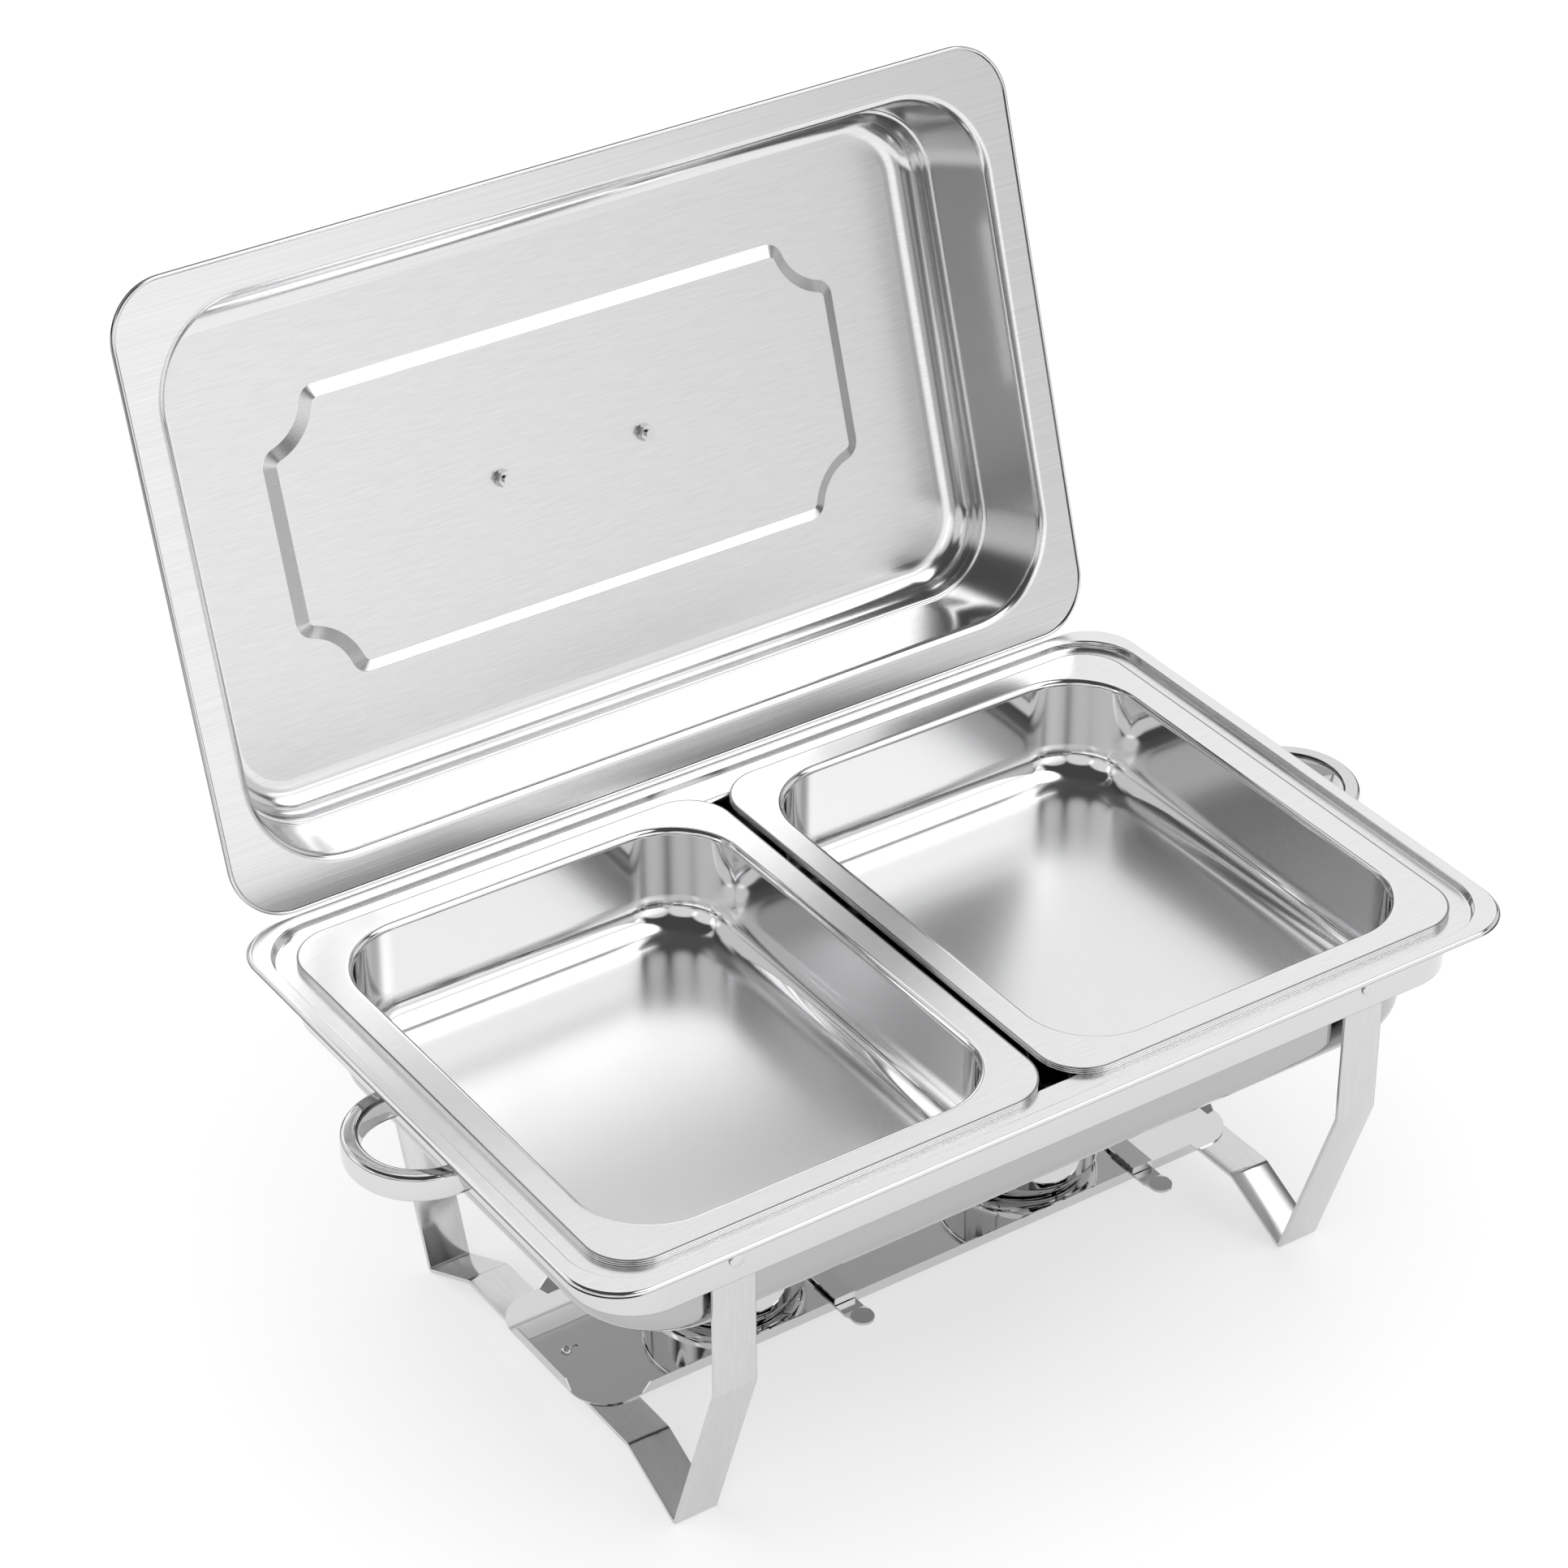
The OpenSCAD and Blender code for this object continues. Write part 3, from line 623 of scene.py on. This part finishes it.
def notched_outline(inset):
    """The plaque's outline: straight sides, scooped corners and rounded shoulders between."""
    half_l, half_w = PLAQUE_L / 2, PLAQUE_W / 2
    reach = NOTCH_R + NOTCH_SHOULDER
    along = math.sqrt(reach**2 - NOTCH_SHOULDER**2)
    lean = math.degrees(math.atan2(along, NOTCH_SHOULDER))
    small = NOTCH_SHOULDER - inset
    corner = arc(half_l - NOTCH_SHOULDER, half_w - along, small, 0, lean, 6)
    corner += arc(half_l, half_w, NOTCH_R + inset, 180 + lean, 270 - lean, 12)
    corner += arc(half_l - along, half_w - NOTCH_SHOULDER, small, 90 - lean, 90, 6)
    points = list(corner)
    points += [(-x, y) for x, y in reversed(corner)]
    points += [(-x, -y) for x, y in corner]
    points += [(x, -y) for x, y in reversed(corner)]
    return points


def slope_steps():
    """Inset and drop along the plaque's border, easing in and out of the slope."""
    bend = PLAQUE_SLOPE / 8
    path = rounded_path([
        (-PLAQUE_MARGIN, 0, 0), (bend / 2, 0, bend),
        (PLAQUE_SLOPE - bend / 2, PLAQUE_DEPTH, bend),
        (PLAQUE_SLOPE + PLAQUE_MARGIN, PLAQUE_DEPTH, 0)], 4)
    return [tuple(p) for p in path[1:-1]]


def add_lid():
    half_l, half_w = LID_L / 2, LID_W / 2
    top_r = LID_FOLD_R + LID_FOLD_IN

    def shape(inset):
        if inset < BEAD_W:
            radius = LID_R - inset
        elif inset < LID_FOLD_IN:
            start = LID_R - BEAD_W
            radius = start + (inset - BEAD_W) / (LID_FOLD_IN - BEAD_W) * (LID_FOLD_R - start)
        else:
            radius = top_r - inset
        return half_l - inset, half_w - inset, radius

    wall = SHOULDER_IN + SHOULDER_W
    base = SHOULDER_IN - (SHOULDER_Z - LID_SEAT) * math.tan(LID_LEAN)
    inner_end = wall + CROWN_R + 3
    lap = 0.3
    path = rounded_path([
        (BEAD_W - lap, LID_SEAT, 0), (base, LID_SEAT, 5.0), (SHOULDER_IN, SHOULDER_Z, 0.9),
        (wall, SHOULDER_Z, 0.9), (wall, LID_TOP, CROWN_R), (inner_end, LID_TOP, 0)], 12)
    low = LID_SEAT + BEAD_LOW
    bead = BEAD_W / 2
    edge = arc(bead, low + BEAD_TALL - bead, bead, 20, 180, 10)
    edge += arc(bead, low + bead, bead, 180, 340, 10)
    section = sheet_section(path, SHEET, edge)
    shell = Shell()
    # A band round the bead's outermost face, and the faces where the bead turns into the near face,
    # get the dark edge steel: painted shade.
    end = len(path) + len(edge)
    outermost = len(path) + len(edge) // 2
    dark = {*range(outermost - 2, outermost + 2), *range(end - 3, end)}
    rings = [swept_ring(shape, p) for p in section]
    far_base = shell.add_rings(rings, face_look=lambda i, k: 2 * (i in dark))
    size = len(round_rect(*shape(0)))
    near_base = far_base + (len(section) - 1) * size
    shell_top(shell, far_base, size, LID_TOP + SHEET)
    shell_top(shell, near_base, size, LID_TOP)
    place = open_lid() @ stand_place()
    shell.make("lid_shell", [LID_SIDE, BRUSHED, PAINTED_EDGE_SHADE], "lid", ["lid"], place)


def shell_top(shell, edge_base, size, level):
    """Closes one face of the lid's top: the plaque, and the flat between it and the crown."""
    rings = [[(x, y, level - drop) for x, y in notched_outline(inset)]
             for inset, drop in slope_steps()]
    flat = [(x, y, level) for x, y in notched_outline(-PLAQUE_MARGIN)]
    inside = notched_outline(PLAQUE_SLOPE + PLAQUE_MARGIN)
    floor = [(x, y, level - PLAQUE_DEPTH) for x, y in inside]
    plaque_base = shell.add_rings([flat] + rings + [floor], caps=(False, True), face_look=lambda i, k: 1)
    outer = [Vector(p) for p in shell.points[edge_base:edge_base + size]]
    inner = [Vector(p) for p in flat]
    starts = [edge_base + k for k in range(size)] + [plaque_base + k for k in range(len(flat))]
    for triangle in tessellate_polygon([outer, inner]):
        shell.faces.append(tuple(starts[k] for k in triangle))
    shell.set_looks(1)


def add_lid_handle():
    shell = Shell()
    shell.add_rings(loop_rings(BOLT_GAP + LOOP_T, KNOB_OUT, KNOB_BEND), caps=(True, True))
    outward = Matrix(((0, 1, 0, 0), (0, 0, 1, 0), (1, 0, 0, 0), (0, 0, 0, 1)))
    seat = LID_TOP - PLAQUE_DEPTH + SHEET
    place = open_lid() @ stand_place(0, 0, seat) @ outward
    shell.make("lid_handle_loop", [POLISHED], "lid", ["lid_handle"], place)


# ---- studio ----


def add_floor(half, material):
    """A square floor at height 0, which reaches half its width each way."""
    mesh = bpy.data.meshes.new("floor")
    corners = [(-half, -half, 0), (half, -half, 0), (half, half, 0), (-half, half, 0)]
    mesh.from_pydata(corners, [], [(0, 1, 2, 3)])
    mesh.materials.append(material)
    floor = bpy.data.objects.new("floor", mesh)
    bpy.context.collection.objects.link(floor)


# What polished steel sees of the studio, as soft patches on a dark sky:
# (degrees anticlockwise from +X, elevation, half-width in degrees, brightness)
DARK_SKY = 0.06
LAMPS = [
    (56, 33, 30, 1.02), (-40, 58, 20, 2.3), (-56, 36, 15, 0.9), (-62, -4, 36, 0.75),
    (-92, 0, 30, 0.5), (150, 20, 20, 0.9), (-140, 20, 20, 0.8), (112, 26, 24, 0.9),
    (183, 24, 18, 0.8), (-4, 20, 20, 0.8), (-100, 24, 16, 0.7)]


def lamp_glow(nodes, links, where, turn, rise, spread, level):
    """What one lamp adds to the dark sky, in each direction."""
    turn, rise, spread = math.radians(turn), math.radians(rise), math.radians(spread)
    aim = nodes.new("ShaderNodeVectorMath")
    aim.operation = "DOT_PRODUCT"
    aim.inputs[1].default_value = (
        math.cos(turn) * math.cos(rise), math.sin(turn) * math.cos(rise), math.sin(rise))
    lamp = map_range(
        nodes, from_min=math.cos(spread * 1.2), from_max=math.cos(spread * 0.8),
        to_max=level - DARK_SKY)
    lamp.interpolation_type = "SMOOTHSTEP"
    links.new(where.outputs["Generated"], aim.inputs[0])
    links.new(aim.outputs["Value"], lamp.inputs["Value"])
    return lamp.outputs["Result"]


def build_world():
    """White light on everything, and soft lamps on a dark sky for polished steel to show."""
    world = bpy.data.worlds.new("studio")
    world.use_nodes = True
    nodes, links = world.node_tree.nodes, world.node_tree.links
    nodes["Background"].inputs["Color"].default_value = (1.0, 1.0, 1.0, 1.0)
    nodes["Background"].inputs["Strength"].default_value = 1.1
    where = nodes.new("ShaderNodeTexCoord")
    total = nodes.new("ShaderNodeValue").outputs["Value"]
    total.default_value = DARK_SKY
    for lamp in LAMPS:
        add = nodes.new("ShaderNodeMath")
        add.operation = "ADD"
        links.new(total, add.inputs[0])
        links.new(lamp_glow(nodes, links, where, *lamp), add.inputs[1])
        total = add.outputs["Value"]
    seen = nodes.new("ShaderNodeBackground")
    links.new(total, seen.inputs["Color"])
    ray = nodes.new("ShaderNodeLightPath")
    mix = nodes.new("ShaderNodeMixShader")
    links.new(ray.outputs["Is Glossy Ray"], mix.inputs[0])
    links.new(nodes["Background"].outputs["Background"], mix.inputs[1])
    links.new(seen.outputs["Background"], mix.inputs[2])
    links.new(mix.outputs["Shader"], nodes["World Output"].inputs["Surface"])
    bpy.context.scene.world = world


def glowing_paint(name, colour, glow):
    """White paint that gives part of its brightness itself, so that shadows on it stay pale."""
    material, nodes, _ = new_material(name)
    shader = nodes["Principled BSDF"]
    shader.inputs["Base Color"].default_value = (*colour, 1.0)
    shader.inputs["Roughness"].default_value = 1.0
    shader.inputs["Specular IOR Level"].default_value = 0.0
    shader.inputs["Emission Color"].default_value = (1.0, 1.0, 1.0, 1.0)
    shader.inputs["Emission Strength"].default_value = glow
    return material


def build_studio():
    build_world()
    bpy.context.scene.view_settings.view_transform = "Standard"
    add_floor(2.3, glowing_paint("floor", (0.6, 0.6, 0.6), 0.46))


add_camera()
dress_frame()
add_rail()
add_rivets()
add_water_pan()
add_lid()
add_lid_handle()
for side in (-1, 1):
    add_end_handle(side)
    add_leg(side)
    add_cup(side)
    add_food_pan(side)
build_studio()
